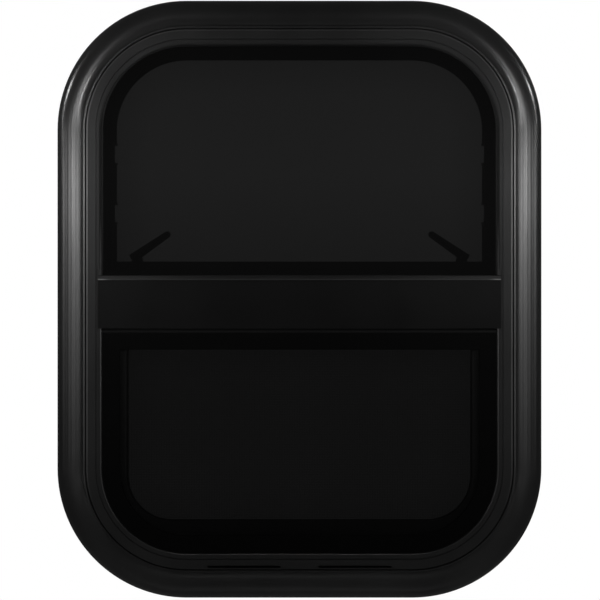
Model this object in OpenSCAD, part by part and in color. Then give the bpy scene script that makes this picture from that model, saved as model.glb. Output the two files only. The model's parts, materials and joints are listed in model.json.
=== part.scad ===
// Caravan window: round-cornered frame, fixed upper pane, insect screen and rising lower sash.
// Every piece is drawn lying on its back: x across, y up from the bottom edge, z out of the wall.
// The wall's outer face is z = 0, and stand_up() turns the finished piece upright.

/* [Wall] */
// Width of the hole cut in the wall
cutout_w = 406; // [380:1:480]
// Height of the hole cut in the wall
cutout_h = 508; // [490:1:620]
// Corner radius of the hole
cutout_r = 101; // [95:1:110]
// Thickness of the wall between the flange and the clamp ring
wall_t = 32; // [30:1:40]
// Gap between the hole's edge and the frame's leg
cutout_gap = 1.4; // [0.8:0.1:3]

/* [Outer frame] */
// How far the frame laps over the wall round the hole
flange_lap = 15.4; // [13:0.1:18]
// Height of the origin over the frame's bottom edge
datum_up = 8; // [5:1:12]
// Width of the half-round bulb
bulb_w = 24; // [22:0.5:26]
// Height of the bulb's crown over the wall
bulb_h = 10.2; // [9.6:0.1:10.8]
// Radius of the bulb's curve
bulb_r = 13.2; // [13:0.1:13.6]
// Place of the crown across the bulb
crown_u = 12.6; // [12.2:0.1:12.8]
// Thickness of the bulb's shell and the ledge
bulb_t = 1.8; // [1.6:0.1:2]
// Distance of the back web from the frame's outer edge, past the open sealant slot
web_u = 4; // [3:0.5:6]
// Width of the groove between the bulb and the flat ledge
groove_w = 1; // [0.6:0.1:1.4]
// Depth of the groove under the ledge
groove_d = 2.4; // [2:0.1:2.8]
// Width of the flat ledge
ledge_w = 9.6; // [9:0.1:12]
// Height of the ledge over the wall
ledge_h = 5; // [4.6:0.1:5.2]
// Radius of the ledge's outer edge
ledge_r = 0.6; // [0.3:0.1:0.8]
// Width of the glazing lip inside the ledge
lip_w = 5.2; // [4.6:0.1:6]
// Height of the lip over the wall
lip_h = 5.6; // [5.4:0.1:6.2]
// Thickness of the lip
lip_t = 1.4; // [1.2:0.1:1.6]
// Width of the shadow line between the ledge and the lip
shadow_w = 0.7; // [0.4:0.1:1]
// Depth of the shadow line
shadow_d = 0.8; // [0.4:0.1:1]
// Thickness of the extruded walls
metal_t = 1.6; // [1.2:0.1:1.8]
// How far the legs stop short of the clamp ring
leg_short = 3; // [2:0.5:4]
// Width of the slot that the clamp screws bite in
race_w = 3.3; // [3.2:0.1:3.6]
// Depth of that slot's floor behind the wall's outer face
race_d = 10; // [9:0.5:13]
// Length of a weep slot
weep_l = 64; // [40:1:80]
// Height of a weep slot
weep_h = 2.3; // [1.5:0.1:3]
// Distance of a weep slot from the middle
weep_x = 50; // [45:1:60]
// Distance of a weep slot from the ledge's outer wall
weep_in = 0.4; // [0.2:0.1:1]

/* [Fits] */
// Gap between fixed pieces that slide together
slip_gap = 0.3; // [0.1:0.05:0.4]
// Gap round gaskets, seals and riveted pieces
soft_gap = 0.2; // [0.1:0.05:0.3]

/* [Fixed upper pane] */
// Thickness of the upper glass
glass_t = 4; // [3:0.1:5]
// Gap between the glass edge and the frame
glass_gap = 1; // [0.5:0.1:1.5]
// Thickness of the gasket behind the lip
gasket_t = 0.8; // [0.5:0.1:1.2]
// How far the gasket shows inside the lip
gasket_show = 1.5; // [1:0.1:2.5]

/* [Mid-rail] */
// Height of the rail's lower edge over the frame's bottom edge
rail_y = 243; // [230:1:260]
// Height of the rail's flat face
rail_h = 43.8; // [36:0.1:48]
// Thickness of the rail's face
rail_t = 2; // [1.6:0.1:2.4]
// How far the rail's face stands proud of the lip
rail_proud = 0.8; // [0.6:0.1:1.2]
// Distance of the rail's ends from the ledge
rail_end = 2.2; // [1.5:0.1:3]
// Thickness of the rail's shelf behind the glass
shelf_t = 1.5; // [1.2:0.1:1.8]
// Height of the glazing bead on the rail
bead_h = 4.5; // [3.5:0.1:6]
// How far the bead stands proud of the rail's face
bead_proud = 1; // [0.6:0.1:2]
// Radius of the bead's front edge
bead_r = 1.2; // [0.6:0.1:1.3]
// Width of the bead's turned-up end
turn_w = 3; // [2:0.1:4]
// Height of the turned-up end over the bead
turn_h = 0.5; // [0.3:0.1:2]
// Height of the brush seal between the rail and the sash
brush_h = 4; // [3:0.1:5]
// How far the brush seal reaches over the rail's top edge
brush_over = 1.2; // [0.6:0.1:2]
// Distance of the brush seal's ends from the frame's inner wall
brush_end = 8; // [6:0.5:12]

/* [Insect screen] */
// Width of the screen's frame bars
screen_bar = 18.6; // [14:0.1:20]
// Thickness of the screen's frame
screen_t = 8.6; // [7:0.1:8.8]
// Thickness of the bar's solid front
screen_front = 3.6; // [3:0.1:4.5]
// Thickness of the bar's side walls
screen_wall = 1.4; // [1:0.1:2]
// Thickness of the mesh
mesh_t = 0.5; // [0.3:0.1:0.6]
// Gap between the screen and the mid-rail
screen_gap = 0.4; // [0.3:0.1:1]
// Gap between the screen and the frame's inner wall
screen_side_gap = 1.2; // [0.8:0.1:2]
// Width of the spline groove
spline_w = 2.2; // [1.8:0.1:2.6]
// Depth of the spline groove
spline_d = 2.2; // [1.8:0.1:2.6]
// Distance of the spline groove from the bar's edge
spline_in = 1.2; // [1:0.1:2]
// Gap on each side of the spline
spline_gap = 0.1; // [0.05:0.05:0.2]

/* [Lower sash] */
// Thickness of the sash from front to back
sash_t = 12; // [11:0.1:12.4]
// Running gap in front of the sash and behind it
sash_gap = 1.6; // [1.2:0.1:2]
// Gap between the sash's edge and the track
sash_side_gap = 1.7; // [1.2:0.1:3]
// Width of the sash's stiles
stile_w = 22.9; // [18:0.1:26]
// Height of the sash's bottom rail
sash_foot_h = 29.2; // [24:0.1:34]
// Height of the sash's top rail
sash_head_h = 35; // [30:0.5:40]
// Thickness of the top rail's hollow bar
sash_wall = 1.8; // [1.4:0.1:2.2]
// How far the top rail stands over the mid-rail's bead
sash_head_over = 12.2; // [8:0.1:16]
// Radius of the sash opening's lower corners
sash_inner_r = 40.6; // [30:0.1:46]
// Thickness of the walls beside the running groove in the sash's edge
run_wall = 2.4; // [2:0.1:3]
// Depth of the running groove
run_d = 5; // [3:0.5:6]
// Thickness of the sash's glass
sash_glass_t = 3.2; // [3:0.1:4]
// Depth of the sash's glazing groove
sash_bite = 8; // [7:0.5:9]
// Gap between the sash glass and the groove's floor
sash_glass_gap = 2; // [1.5:0.1:3]
// Thickness of the gasket on each side of the sash glass, and how far it shows
bed_t = 1.2; // [0.8:0.1:1.6]

/* [Track and keepers] */
// Depth of the track's front leg behind the wall's outer face
track_d = 5; // [5:0.1:6]
// Thickness of the track's legs
track_t = 1.4; // [1.2:0.1:1.6]
// How far the track's front leg reaches over the sash's edge
stop_w = 3.2; // [2.6:0.1:4]
// How far the track's rear leg reaches over the opening
track_leg = 16.2; // [14:0.1:18]
// Thickness of a keeper strip
keeper_t = 4; // [3.5:0.1:5]
// Width of a keeper strip
keeper_w = 8.4; // [6:0.1:10]
// Depth of a keeper notch
notch_d = 1.8; // [1.4:0.1:2.4]
// Height of a keeper notch
notch_h = 15.6; // [14:0.1:18]
// Radius of the bumps over and under a vent notch
bump_r = 1; // [0.6:0.1:1.4]
// Rise of the sash from one vent notch to the next
vent_step = 53.8; // [45:0.1:60]
// Number of vent notches over the closed one, where the jamb is long enough
vent_count = 2; // [1:1:3]

/* [Latches] */
// Distance of a latch pivot from the keeper strip's edge
latch_in = 18.9; // [16:0.1:26]
// Height of the pivot over the sash's top rail
pivot_over = 1; // [0:0.1:3]
// Length of the finger lever from the pivot to its tip
lever_l = 35.8; // [30:0.1:40]
// Angle of the lever over the level at rest
lever_rise = 41.3; // [38:0.1:45]
// Taper of the lever towards its tip
lever_taper = 4.5; // [3:0.1:6]
// Radius of the lever's tip
lever_tip_r = 3; // [2.5:0.1:4]
// Reach of the lever's heel past the pivot
lever_heel = 7.7; // [6.5:0.1:8.5]
// Thickness of the lever
lever_t = 4; // [3:0.1:5]
// Radius of the lever's hub
hub_r = 5; // [4.5:0.1:6]
// Radius of the pivot pin
pin_r = 2; // [1.8:0.1:2.2]
// Clearance round the pin
pin_gap = 0.06; // [0.02:0.01:0.1]
// Thickness of the pin's head
pin_head_t = 1; // [0.8:0.1:1.4]
// How far the pin's head reaches over the pin
pin_head_w = 1.6; // [1.2:0.1:2]
// Drop of the catch nose under the pivot
nose_drop = 11; // [10:0.1:12]
// Height of the catch nose
nose_h = 5; // [4:0.1:6]
// Length of the catch nose's level edges
nose_l = 5; // [4:0.1:6]
// Gap between the nose and its notch
nose_gap = 0.4; // [0.3:0.1:0.6]
// Thickness of the latch's base plate
base_t = 1.8; // [1.5:0.1:2]
// Reach of the base plate from the pivot towards the middle
plate_in = 10; // [7:0.5:12]
// Reach of the base plate from the pivot towards the jamb
plate_out = 14; // [8:0.5:15]
// How far the base plate reaches under the catch nose
plate_drop = 10; // [7:0.5:12]

/* [Clamp ring] */
// Thickness of the ring's flange
clamp_t = 2; // [1.6:0.1:3]
// How far the flange stops short of the frame's outer edge
clamp_in = 5; // [3:0.1:8]
// Radius of the flange's rolled outer edge
clamp_r = 1.2; // [0.6:0.1:1.5]
// Depth of the ring's inner lip
clamp_lip = 8; // [6:0.1:9]
// Radius of a screw's shank
screw_r = 1.5; // [1.4:0.05:1.58]
// Length of a screw's shank
screw_l = 20; // [16:1:21]
// Radius of a screw's head
screw_head_r = 3.5; // [3:0.1:4]
// Thickness of a screw's head
screw_head_t = 1.8; // [1.4:0.1:2.4]

/* [Hidden] */
$fn = 64;
fine_fn = 24;
cut = 0.5;
frame_w = cutout_w + 2 * flange_lap;
frame_h = cutout_h + 2 * flange_lap;
frame_r = cutout_r + flange_lap;
half_w = frame_w / 2;
// Distances inward from the frame's outer edge
leg_u = flange_lap + cutout_gap;
race_u = leg_u + metal_t;
race_end_u = race_u + race_w;
screw_u = race_u + race_w / 2;
ledge_u = bulb_w + groove_w;
lip_u = ledge_u + ledge_w;
pocket_u = lip_u + metal_t;
opening_u = lip_u + lip_w;
glass_u = pocket_u + glass_gap;
track_u = pocket_u + metal_t;
stop_u = track_u + stop_w;
keeper_u = pocket_u + track_leg;
screen_u = pocket_u + screen_side_gap;
mesh_i = spline_in + spline_w + spline_gap;
sash_u = track_u + sash_side_gap;
stile_u = sash_u + stile_w;
rail_u = lip_u + rail_end;
// Heights over the wall's outer face, z
bulb_z = bulb_h - bulb_r;
groove_z = ledge_h - groove_d;
lip_z = lip_h - lip_t;
glass_z = lip_z - gasket_t;
glass_back_z = glass_z - glass_t;
rail_z = lip_h + rail_proud;
bead_z = rail_z + bead_proud;
track_front_z = -track_d;
track_stop_z = track_front_z - track_t;
sash_z = track_stop_z - sash_gap;
sash_back_z = sash_z - sash_t;
track_rear_z = sash_back_z - sash_gap;
track_back_z = track_rear_z - track_t;
keeper_z = track_back_z - keeper_t;
leg_z = -(wall_t - leg_short);
race_z = -race_d;
clamp_z = -wall_t;
screen_z = lip_z - slip_gap;
sash_mid_z = (sash_z + sash_back_z) / 2;
sash_groove_t = sash_glass_t + 2 * bed_t;
// Heights up the window, y
rail_top = rail_y + rail_h;
bead_top = rail_top + bead_h;
sash_top = bead_top + sash_head_over;
sash_split = sash_top - sash_head_h;
sash_open_y = sash_u + sash_foot_h;
screen_top = rail_y - screen_gap;
pivot_y = sash_top + pivot_over;
nose_y = pivot_y - nose_drop;
jamb_low = frame_r;
jamb_high = frame_h - frame_r;
vent_ys = [for (k = [1 : vent_count]) let (y = nose_y + k * vent_step)
  if (y + notch_h / 2 + 2 * bump_r < jamb_high) y];
notch_ys = concat([nose_y], vent_ys);
// Latch pieces, back from the sash's rail
latch_x = half_w - keeper_u - latch_in;
nose_x = latch_in + notch_d - nose_gap;
lever_z = sash_back_z - base_t - soft_gap;
lever_back_z = lever_z - lever_t;
nose_z = track_back_z - nose_gap;

// Turns a piece upright, with the origin on the flange's back face at the bottom
module stand_up() {
  translate([0, 0, -datum_up]) rotate([90, 0, 0]) children();
}

module at_side(side) {
  if (side > 0) children();
  else mirror([1, 0, 0]) children();
}

// Outline of the frame, drawn in by u from its outer edge
module plan(u) {
  w = frame_w - 2 * u;
  h = frame_h - 2 * u;
  r = frame_r - u;
  translate([0, frame_h / 2]) {
    square([w - 2 * r, h], center = true);
    square([w, h - 2 * r], center = true);
    for (sx = [-1, 1], sy = [-1, 1])
      translate([sx * (w / 2 - r), sy * (h / 2 - r)]) circle(r);
  }
}

// Rectangle across the whole window between two heights
module strip(y0, y1) {
  translate([-frame_w, y0]) square([2 * frame_w, y1 - y0]);
}

module slab(z0, z1) {
  translate([0, 0, z0]) linear_extrude(z1 - z0) children();
}

// Ring between two insets of the outline
module band(u0, u1, z0, z1) {
  slab(z0, z1) difference() {
    plan(u0);
    plan(u1);
  }
}

// Sweeps a section, x inward from the outer edge and y out of the wall, round the frame
module bend_round() {
  straight_w = frame_w - 2 * frame_r;
  straight_h = frame_h - 2 * frame_r;
  translate([0, frame_h / 2, 0]) {
    for (i = [0 : 3]) rotate(90 * i) {
      long = i % 2 == 0 ? straight_h : straight_w;
      out = i % 2 == 0 ? half_w : frame_h / 2;
      across = i % 2 == 0 ? straight_w : straight_h;
      translate([out, long / 2, 0]) rotate([90, 0, 0])
        linear_extrude(long) mirror([1, 0]) children();
      translate([across / 2, long / 2, 0])
        rotate_extrude(angle = 90) translate([frame_r, 0]) mirror([1, 0]) children();
    }
  }
}

module box2(u0, u1, z0, z1) {
  translate([u0, z0]) square([u1 - u0, z1 - z0]);
}

// Section of the bent frame extrusion
module frame_section() {
  lip_r = lip_t / 2;
  difference() {
    union() {
      // half-round bulb with an open sealant channel behind it
      difference() {
        intersection() {
          translate([crown_u, bulb_z]) circle(bulb_r);
          box2(0, bulb_w, 0, bulb_h);
        }
        intersection() {
          translate([crown_u, bulb_z]) circle(bulb_r - bulb_t);
          box2(bulb_t, bulb_w - bulb_t, -cut, bulb_h);
        }
      }
      // back web, groove floor and flat ledge
      box2(web_u, ledge_u + metal_t, 0, metal_t);
      box2(bulb_w - bulb_t, ledge_u + metal_t, 0, groove_z);
      box2(ledge_u, ledge_u + metal_t, 0, ledge_h - ledge_r);
      box2(ledge_u + ledge_r, pocket_u, ledge_h - bulb_t, ledge_h);
      box2(ledge_u, pocket_u, ledge_h - bulb_t, ledge_h - ledge_r);
      translate([ledge_u + ledge_r, ledge_h - ledge_r]) circle(ledge_r, $fn = fine_fn);
      // inner wall and glazing lip
      box2(lip_u, pocket_u, leg_z, lip_h);
      box2(lip_u, opening_u - lip_r, lip_z, lip_h);
      translate([opening_u - lip_r, lip_h - lip_r]) circle(lip_r, $fn = fine_fn);
      // leg through the wall, with the screw race inside it
      box2(leg_u, race_u, leg_z, metal_t);
      box2(race_end_u, race_end_u + metal_t, leg_z, race_z);
      box2(leg_u, race_end_u + metal_t, race_z - metal_t, race_z);
    }
    // shadow line between the ledge and the lip
    box2(lip_u, lip_u + shadow_w, ledge_h - shadow_d, lip_h + cut);
  }
}

module weep_slot(x) {
  u = ledge_u + metal_t + weep_in + weep_h / 2;
  slab(-cut, ledge_h + cut) {
    translate([x - weep_l / 2, u - weep_h / 2]) square([weep_l, weep_h]);
    for (s = [-1, 1]) translate([x + s * weep_l / 2, u]) circle(weep_h / 2, $fn = fine_fn);
  }
}

module outer_frame() color("#1b1b1d") stand_up() difference() {
  bend_round() frame_section();
  for (s = [-1, 1]) weep_slot(s * weep_x);
}

// Notches in the jamb's inner edge on one side
module jamb_notches(side, z0, z1) {
  spare = bump_r + cut;
  for (y = notch_ys) at_side(side)
    translate([half_w - keeper_u - spare, y - notch_h / 2, z0])
      cube([notch_d + spare, notch_h, z1 - z0]);
}

module track_ring() color("#161617") stand_up() difference() {
  union() {
    band(pocket_u, track_u, track_back_z, track_front_z);
    band(pocket_u, stop_u, track_stop_z, track_front_z);
    band(pocket_u, keeper_u, track_back_z, track_rear_z);
  }
  for (side = [-1, 1]) jamb_notches(side, track_back_z - cut, track_rear_z + cut);
}

module keeper(side) color("#202022") stand_up() difference() {
  at_side(side) union() {
    translate([half_w - keeper_u, jamb_low, keeper_z])
      cube([keeper_w, jamb_high - jamb_low, keeper_t]);
    // raised edges over and under each vent notch
    for (y = vent_ys, s = [-1, 1])
      translate([half_w - keeper_u, y + s * (notch_h / 2 + bump_r), keeper_z])
        cylinder(h = keeper_t, r = bump_r, $fn = fine_fn);
  }
  jamb_notches(side, keeper_z - cut, track_back_z + cut);
}

// Extrudes a section, x up the window and y out of the wall, across the window
module across(len) {
  translate([-len / 2, 0, 0]) rotate([90, 0, 90]) linear_extrude(len) children();
}

// What the lips and the frame's inner walls leave free between them
module between_lips(z_top) {
  slab(track_front_z - cut, lip_z) plan(pocket_u + slip_gap);
  slab(lip_z - cut, lip_h) plan(opening_u + soft_gap);
  slab(lip_h, z_top + cut) plan(rail_u);
}

module mid_rail() color("#1d1d1f") stand_up() intersection() {
  across(frame_w) {
    box2(rail_y, rail_top, rail_z - rail_t, rail_z);
    box2(rail_y, rail_y + metal_t, track_front_z, rail_z);
    box2(rail_top - metal_t, rail_top, track_front_z, rail_z);
    // shelf behind the glass
    box2(rail_top - metal_t, bead_top - slip_gap, glass_back_z - soft_gap - shelf_t,
         glass_back_z - soft_gap);
  }
  between_lips(rail_z);
}

module mid_rail_bead() color("#1f1f21") stand_up() intersection() {
  union() {
    across(frame_w) {
      box2(rail_top, bead_top - bead_r, glass_z + slip_gap, bead_z);
      box2(rail_top, bead_top, glass_z + slip_gap, bead_z - bead_r);
      translate([bead_top - bead_r, bead_z - bead_r]) circle(bead_r, $fn = fine_fn);
    }
    // the bead turns up where it laps the lip
    for (s = [-1, 1])
      translate([s * (half_w - rail_u - turn_w / 2) - turn_w / 2, rail_top, lip_h])
        cube([turn_w, 2 * bead_h + turn_h, bead_z - lip_h - nose_gap]);
  }
  between_lips(bead_z);
}

module meeting_seal() color("#111112") stand_up() {
  half = half_w - pocket_u - brush_end;
  translate([-half, rail_top - brush_h + brush_over, sash_z + slip_gap])
    cube([2 * half, brush_h, track_front_z - sash_z - slip_gap]);
}

module upper_glass() color("#2b2f33") stand_up() slab(glass_back_z, glass_z)
  intersection() {
    plan(glass_u);
    strip(rail_top + slip_gap, frame_h);
  }

module upper_front_gasket() color("#0e0e0f") stand_up() slab(glass_z, lip_z)
  intersection() {
    difference() {
      plan(pocket_u + soft_gap);
      plan(opening_u + gasket_show);
    }
    strip(bead_top + slip_gap, frame_h);
  }

module upper_rear_gasket() color("#0e0e0f") stand_up() slab(track_front_z, glass_back_z)
  intersection() {
    difference() {
      plan(pocket_u + soft_gap);
      plan(stop_u);
    }
    strip(bead_top + slip_gap, frame_h);
  }

// Outline of the insect screen, drawn in by i from its edge
module screen_plan(i) {
  intersection() {
    plan(screen_u + i);
    strip(0, screen_top - i);
  }
}

module screen_frame() color("#19191a") stand_up() difference() {
  slab(screen_z - screen_t, screen_z) difference() {
    screen_plan(0);
    screen_plan(screen_bar);
  }
  // open back of the rolled bar
  slab(screen_z - screen_t - cut, screen_z - screen_front) difference() {
    screen_plan(screen_wall);
    screen_plan(screen_bar - screen_wall);
  }
  slab(screen_z - spline_d, screen_z + cut) difference() {
    screen_plan(spline_in);
    screen_plan(spline_in + spline_w);
  }
}

module screen_mesh() color("#2a2a2b") stand_up()
  slab(screen_z, screen_z + mesh_t) screen_plan(mesh_i);

module screen_spline() color("#0c0c0d") stand_up()
  slab(screen_z - spline_d, screen_z + soft_gap) difference() {
    screen_plan(spline_in + spline_gap);
    screen_plan(spline_in + spline_w - spline_gap);
  }

// Clear opening of the sash, grown outward by g; its top runs on into the top rail
module sash_hole(g, y_top) {
  w = frame_w - 2 * stile_u + 2 * g;
  r = sash_inner_r + g;
  y0 = sash_open_y - g;
  translate([-w / 2, y0 + r]) square([w, y_top - y0 - r]);
  translate([-w / 2 + r, y0]) square([w - 2 * r, y_top - y0]);
  for (s = [-1, 1]) translate([s * (w / 2 - r), y0 + r]) circle(r);
}

module sash_frame() color("#18181a") stand_up() difference() {
  slab(sash_back_z, sash_z) difference() {
    intersection() {
      plan(sash_u);
      strip(0, sash_split);
    }
    sash_hole(0, frame_h);
  }
  // glazing groove round the opening
  slab(sash_mid_z - sash_groove_t / 2, sash_mid_z + sash_groove_t / 2)
    sash_hole(sash_bite, frame_h);
  // running groove in the outer edge
  slab(sash_back_z + run_wall, sash_z - run_wall) difference() {
    plan(sash_u - cut);
    plan(sash_u + run_d);
  }
}

module sash_top_rail() color("#1a1a1c") stand_up() across(frame_w - 2 * sash_u) difference() {
  box2(sash_split, sash_top, sash_back_z, sash_z);
  box2(sash_split + sash_bite + metal_t, sash_top - sash_wall, sash_back_z + sash_wall,
       sash_z - sash_wall);
  box2(sash_split - cut, sash_split + sash_bite, sash_mid_z - sash_groove_t / 2,
       sash_mid_z + sash_groove_t / 2);
}

module sash_pane() {
  g = sash_bite - sash_glass_gap;
  slab(sash_mid_z - sash_glass_t / 2, sash_mid_z + sash_glass_t / 2)
    sash_hole(g, sash_split + g);
}

module sash_glass() color("#26292c") stand_up() sash_pane();

module sash_gasket() color("#0d0d0e") stand_up() difference() {
  g = sash_bite - soft_gap;
  slab(sash_mid_z - sash_groove_t / 2, sash_mid_z + sash_groove_t / 2) difference() {
    sash_hole(g, sash_split + g);
    sash_hole(-bed_t, sash_split - bed_t);
  }
  sash_pane();
}

module sash_seal() color("#101011") stand_up() slab(sash_z + slip_gap, track_stop_z)
  intersection() {
    difference() {
      plan(track_u + soft_gap);
      plan(stop_u);
    }
    strip(0, sash_split);
  }

// Places along the screw race, as [x, y]
function clamp_points() = let (
    cx = half_w - frame_r,
    cy = frame_h / 2 - frame_r,
    d = frame_r - screw_u,
    side = half_w - screw_u,
    end = frame_h / 2 - screw_u)
  [for (sx = [-1, 1], sy = [-1, 1])
    each [[sx * (cx + d * cos(45)), sy * (cy + d * sin(45))],
          [sx * side, sy * cy / 2],
          [sx * cx / 2, sy * end]]];

// Section of the clamp ring, with its outer edge rolled over
module clamp_section() {
  back_z = clamp_z - clamp_t;
  box2(clamp_in, track_u, back_z + clamp_r, clamp_z);
  box2(clamp_in + clamp_r, track_u, back_z, clamp_z);
  translate([clamp_in + clamp_r, back_z + clamp_r]) circle(clamp_r, $fn = fine_fn);
  box2(pocket_u + soft_gap, track_u, back_z, clamp_z + clamp_lip);
}

module clamp_ring() color("#242426") stand_up() difference() {
  bend_round() clamp_section();
  for (p = clamp_points())
    translate([p[0], p[1] + frame_h / 2, clamp_z - clamp_t - cut])
      cylinder(h = clamp_t + 2 * cut, r = screw_r + slip_gap, $fn = fine_fn);
}

module clamp_screws() color("#3a3a3c") stand_up()
  for (p = clamp_points())
    translate([p[0], p[1] + frame_h / 2, clamp_z - clamp_t]) {
      cylinder(h = screw_l, r = screw_r, $fn = fine_fn);
      translate([0, 0, -screw_head_t])
        cylinder(h = screw_head_t, r = screw_head_r, $fn = fine_fn);
    }

module at_latch(side) {
  at_side(side) translate([latch_x, pivot_y, 0]) children();
}

// Foot of a latch: a plate on the sash's top rail, with an ear that carries the pin
module latch_base(side) color("#1c1c1e") stand_up() at_latch(side)
  slab(sash_back_z - base_t, sash_back_z) {
    low_y = -nose_drop - plate_drop;
    top_y = -pivot_over - nose_gap;
    translate([-plate_in, low_y]) square([plate_in + plate_out, top_y - low_y]);
    translate([-hub_r, -nose_drop]) square([2 * hub_r, nose_drop]);
    circle(hub_r);
  }

module latch_pin(side) color("#5a5a5c") stand_up() at_latch(side) {
  head_z = lever_back_z - soft_gap;
  translate([0, 0, head_z]) cylinder(h = sash_back_z - base_t - head_z, r = pin_r);
  translate([0, 0, head_z - pin_head_t]) cylinder(h = pin_head_t, r = pin_r + pin_head_w);
}

// Finger bar, hub and catch nose in one casting, drawn for the right-hand latch
module latch_lever(side) color("#222224") stand_up() at_latch(side) {
  tip = [-lever_l * cos(lever_rise), lever_l * sin(lever_rise)];
  heel = [lever_heel, hub_r];
  top_a = atan2(tip[1] + lever_tip_r - heel[1], heel[0] - tip[0]);
  low_a = top_a + lever_taper;
  difference() {
    union() {
      slab(lever_back_z, lever_z) {
        circle(hub_r);
        translate(tip) circle(lever_tip_r, $fn = fine_fn);
        polygon([
          heel,
          tip + lever_tip_r * [sin(top_a), cos(top_a)],
          tip - lever_tip_r * [sin(low_a), cos(low_a)],
          [-hub_r / 2, pin_r],
          [hub_r, 0]]);
      }
      slab(lever_back_z, nose_z) polygon([
        [-pin_r, -hub_r],
        [nose_x - nose_l, -nose_drop - nose_h / 2],
        [nose_x, -nose_drop - nose_h / 2],
        [nose_x, -nose_drop + nose_h / 2],
        [hub_r, 0]]);
    }
    translate([0, 0, lever_back_z - cut])
      cylinder(h = lever_t + 2 * cut, r = pin_r + pin_gap);
  }
}

outer_frame();
track_ring();
keeper(-1);  // keeper_left
keeper(1);  // keeper_right
mid_rail();
mid_rail_bead();
meeting_seal();
upper_glass();
upper_front_gasket();
upper_rear_gasket();
screen_frame();
screen_mesh();
screen_spline();
sash_frame();
sash_top_rail();
sash_glass();
sash_gasket();
sash_seal();
clamp_ring();
clamp_screws();
latch_base(-1);  // latch_base_left
latch_base(1);  // latch_base_right
latch_lever(-1);  // latch_lever_left
latch_lever(1);  // latch_lever_right
latch_pin(-1);  // latch_pin_left
latch_pin(1);  // latch_pin_right
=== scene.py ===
# %% [markdown]
# # A round-cornered caravan window
#
# The window is a frame bent from one aluminium bar. It holds a fixed tinted pane above,
# an insect screen below, and a sash that rises behind the pane. Nearly all of it is
# black, so its look lives in the edges: a rounded edge catches a line of light, and a
# sharp one catches nothing. The solids come first, and all that is made here is placed
# by them.

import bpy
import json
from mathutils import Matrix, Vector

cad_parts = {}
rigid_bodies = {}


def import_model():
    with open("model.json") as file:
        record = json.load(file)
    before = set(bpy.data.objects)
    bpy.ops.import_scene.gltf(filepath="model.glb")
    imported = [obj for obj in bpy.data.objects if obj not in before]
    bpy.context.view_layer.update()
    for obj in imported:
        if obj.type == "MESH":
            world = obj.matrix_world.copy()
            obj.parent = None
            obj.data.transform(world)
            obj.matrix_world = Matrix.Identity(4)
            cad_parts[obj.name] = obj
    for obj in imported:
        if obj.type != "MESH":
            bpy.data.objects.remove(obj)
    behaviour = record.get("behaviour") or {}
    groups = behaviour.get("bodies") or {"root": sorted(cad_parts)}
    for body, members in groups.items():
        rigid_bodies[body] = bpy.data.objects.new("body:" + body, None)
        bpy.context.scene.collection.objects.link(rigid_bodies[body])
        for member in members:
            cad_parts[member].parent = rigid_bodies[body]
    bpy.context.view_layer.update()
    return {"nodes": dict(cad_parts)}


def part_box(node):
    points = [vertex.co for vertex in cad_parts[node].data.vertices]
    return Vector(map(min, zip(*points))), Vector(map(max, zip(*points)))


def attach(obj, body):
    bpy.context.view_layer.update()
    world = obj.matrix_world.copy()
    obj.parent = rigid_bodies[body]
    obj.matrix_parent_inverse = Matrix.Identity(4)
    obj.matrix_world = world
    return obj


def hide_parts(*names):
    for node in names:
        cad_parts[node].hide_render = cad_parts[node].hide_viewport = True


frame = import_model()

# %% [markdown]
# ## Sizes
#
# Every size is in metres, and MM turns millimetres into them. Only the zones of a finish
# stay in millimetres. The overall sizes come from the frame's own box, and the rest are
# the bar's measures: how far in from the frame's outer edge a feature lies, and how far
# out of the wall it stands. The wall's outer face is y = 0, and the outside of the
# window faces minus y.

# %% Read the main sizes off the solids
import json
import math

import bpy
from mathutils import Vector

MM = 0.001
frame_low, frame_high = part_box("outer_frame")
half_w = frame_high[0]
low_z = frame_low[2]
high_z = frame_high[2]
mid_z = (low_z + high_z) / 2
half_h = (high_z - low_z) / 2
corner_r = 116.4 * MM
straight_x = half_w - corner_r
straight_z = half_h - corner_r
print("frame", round(2 * half_w, 4), "by", round(2 * half_h, 4), "corner", corner_r)

# %% [markdown]
# ## Camera
#
# The photograph looks straight at the window from outside, from far enough away that
# the reveal hardly shows. A long lens a few metres away gives that. The camera stands
# level with the middle of the window, and its lens is worked out from the width that
# has to fit in the view.

# %% Camera
view_distance = 3.5
view_width = 541.8 * MM
eye_x = 0.5 * MM
eye_z = 260.7 * MM
quarter_turn = math.radians(90)
bpy.ops.object.camera_add(location=(eye_x, -view_distance, eye_z), rotation=(quarter_turn, 0, 0))
camera = bpy.context.object
camera.data.sensor_width = 36
camera.data.lens = camera.data.sensor_width * view_distance / view_width
bpy.context.scene.camera = camera
bpy.context.scene.view_settings.view_transform = "Standard"
print("lens", round(camera.data.lens, 1), "mm")

# %% [markdown]
# ## Shader arithmetic
#
# A finish is easier to read as a sum than as a tangle of nodes. This small class holds
# one socket. Adding or multiplying two of them adds a Math node, or its colour or
# vector kin, and `node` makes anything else: its settings first, then its sockets.

# %% A socket that can be added and multiplied


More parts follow.
